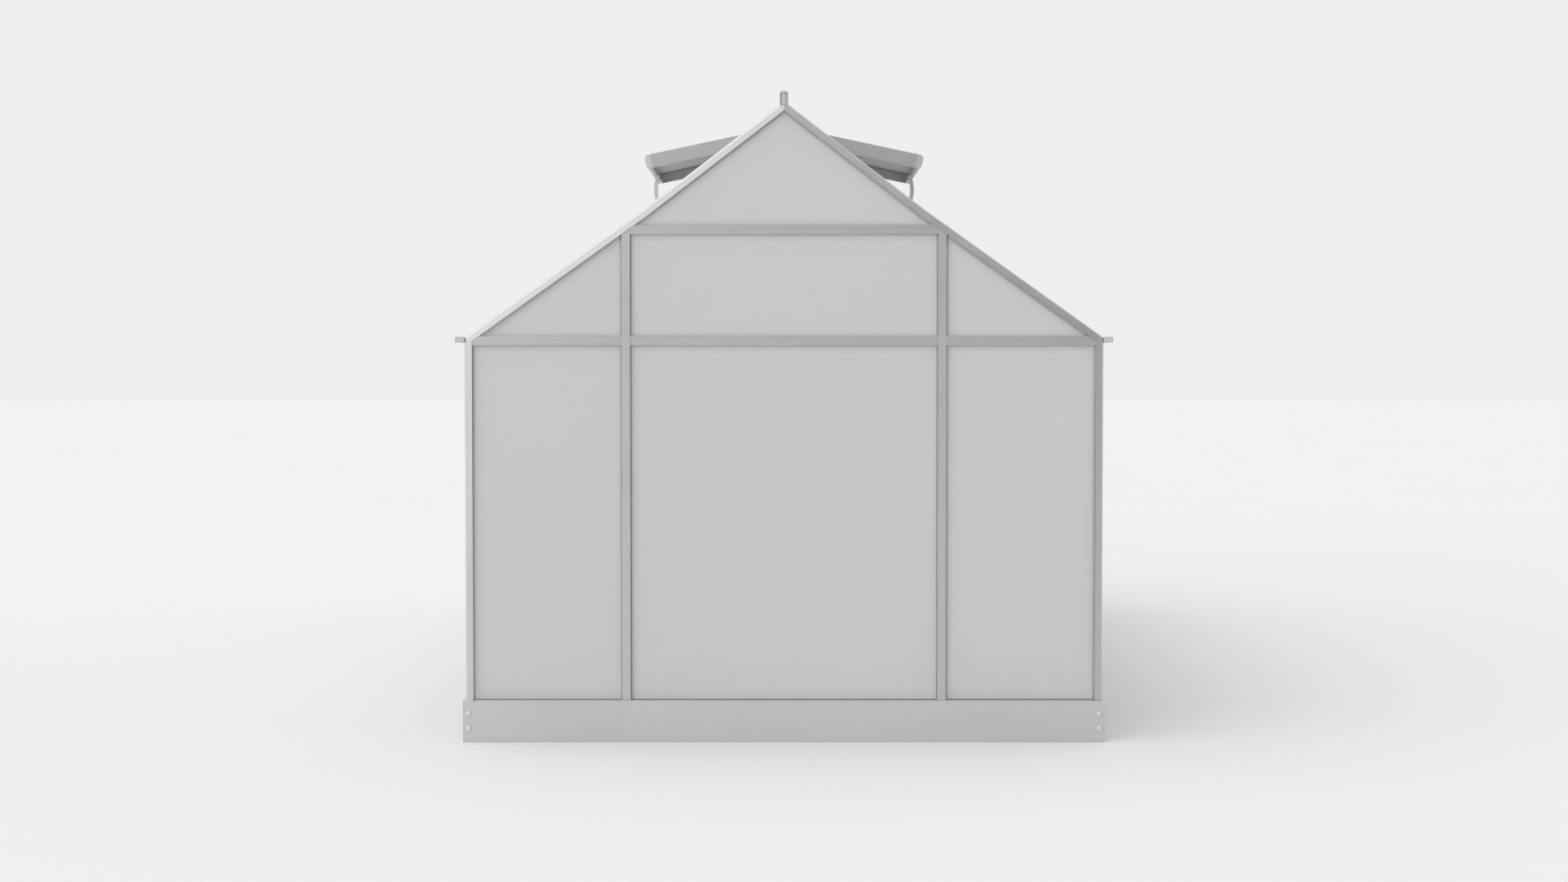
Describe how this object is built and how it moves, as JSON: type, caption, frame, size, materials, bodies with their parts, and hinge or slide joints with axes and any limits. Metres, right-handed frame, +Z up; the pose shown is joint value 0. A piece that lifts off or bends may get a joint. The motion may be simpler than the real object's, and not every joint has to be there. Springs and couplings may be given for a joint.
{
  "type": "span-roof greenhouse",
  "caption": "Free-standing span-roof greenhouse: steel base, aluminium frame, milky twin-wall panes, propped roof vents on both slopes and a pair of hinged doors.",
  "frame": {"origin": "on the floor, at the middle of the footprint of the whole object", "axes": "+Z up, +Y along the house towards the gable with the doors, +X across it"},
  "size_m": [1.969, 3.8954, 1.9475],
  "materials": {
    "base_steel": "satin pale grey coating on folded steel",
    "frame_aluminium": "satin mill-finish extrusions",
    "milky_panes": "milky twin-wall polycarbonate, slightly see-through",
    "fixings": "bright zinc plate",
    "grey_plastic": "fine moulded grain"
  },
  "bodies": {
    "house": {"base_bolts": "fixings", "base_corner_brackets": "base_steel", "base_nuts": "fixings", "base_plate_front": "base_steel", "base_plate_rear": "base_steel", "base_side_plates": "base_steel", "corner_posts": "frame_aluminium", "door_hinge_pins": "fixings", "door_threshold": "frame_aluminium", "eave_beams": "frame_aluminium", "end_caps": "grey_plastic", "front_gable_panes": "milky_panes", "gable_lower_bars": "frame_aluminium", "gable_rafters": "frame_aluminium", "gable_upper_bars": "frame_aluminium", "gable_upright_bars": "frame_aluminium", "glazing_sills": "frame_aluminium", "jamb_hinge_plates": "frame_aluminium", "knee_joiners": "frame_aluminium", "left_gutter": "frame_aluminium", "lower_roof_panes": "milky_panes", "rear_gable_panes": "milky_panes", "ridge_beam": "frame_aluminium", "right_gutter": "frame_aluminium", "roof_bars": "frame_aluminium", "stay_clamp_knobs": "grey_plastic", "stay_guides": "frame_aluminium", "upper_roof_panes": "milky_panes", "vent_hinge_lugs": "frame_aluminium", "vent_hinge_rods": "fixings", "vent_sills": "frame_aluminium", "wall_bars": "frame_aluminium", "wall_panes": "milky_panes"},
    "right_vent": {"right_vent_top_rail": "frame_aluminium", "right_vent_side_rails": "frame_aluminium", "right_vent_nose_rail": "frame_aluminium", "right_vent_panel": "milky_panes", "right_vent_stay_bracket": "frame_aluminium", "right_vent_stay_pin": "fixings"},
    "right_stay": {"right_vent_stay": "frame_aluminium"},
    "right_door": {"right_door_stiles": "frame_aluminium", "right_door_rails": "frame_aluminium", "right_door_panels": "milky_panes", "right_door_handle": "frame_aluminium", "right_door_hinge_plates": "frame_aluminium"},
    "left_vent": {"left_vent_top_rail": "frame_aluminium", "left_vent_side_rails": "frame_aluminium", "left_vent_nose_rail": "frame_aluminium", "left_vent_panel": "milky_panes", "left_vent_stay_bracket": "frame_aluminium", "left_vent_stay_pin": "fixings"},
    "left_stay": {"left_vent_stay": "frame_aluminium"},
    "left_door": {"left_door_stiles": "frame_aluminium", "left_door_rails": "frame_aluminium", "left_door_panels": "milky_panes", "left_door_handle": "frame_aluminium", "left_door_hinge_plates": "frame_aluminium", "left_door_bolt_guides": "grey_plastic"},
    "latch": {"door_latch": "grey_plastic"},
    "drop_bolt": {"left_door_bolt": "fixings"}
  },
  "joints": [
    {"name": "right_vent_hinge", "type": "hinge", "parent": "house", "child": "right_vent", "pos_m": [0.0248, -0.9793, 1.9048], "axis": [0, -1, 0], "range_deg": [-25.47, 0]},
    {"name": "right_stay_swing", "type": "hinge", "parent": "right_vent", "child": "right_stay", "pos_m": [0.43172, -0.9793, 1.77026], "axis": [0, -1, 0], "range_deg": [-76.9, 0]},
    {"name": "right_door_swing", "type": "hinge", "parent": "house", "child": "right_door", "pos_m": [0.459, 1.9111, 0.83], "axis": [0, 0, -1], "range_deg": [0, 100]},
    {"name": "left_vent_hinge", "type": "hinge", "parent": "house", "child": "left_vent", "pos_m": [-0.0248, -0.9793, 1.9048], "axis": [0, 1, 0], "range_deg": [-25.47, 0]},
    {"name": "left_stay_swing", "type": "hinge", "parent": "left_vent", "child": "left_stay", "pos_m": [-0.43172, -0.9793, 1.77026], "axis": [0, 1, 0], "range_deg": [-76.9, 0]},
    {"name": "left_door_swing", "type": "hinge", "parent": "house", "child": "left_door", "pos_m": [-0.459, 1.9111, 0.83], "axis": [0, 0, 1], "range_deg": [0, 100]},
    {"name": "latch_turn", "type": "hinge", "parent": "right_door", "child": "latch", "pos_m": [0.017, 1.8957, 1.09], "axis": [0, -1, 0], "range_deg": [0, 90]},
    {"name": "drop_bolt_slide", "type": "slide", "parent": "left_door", "child": "drop_bolt", "axis": [0, 0, -1], "range_m": [0, 0.014]}
  ],
  "couplings": [
    {"joint": "right_stay_swing", "follows": "right_vent_hinge", "ratio": 3},
    {"joint": "left_stay_swing", "follows": "left_vent_hinge", "ratio": 3}
  ]
}
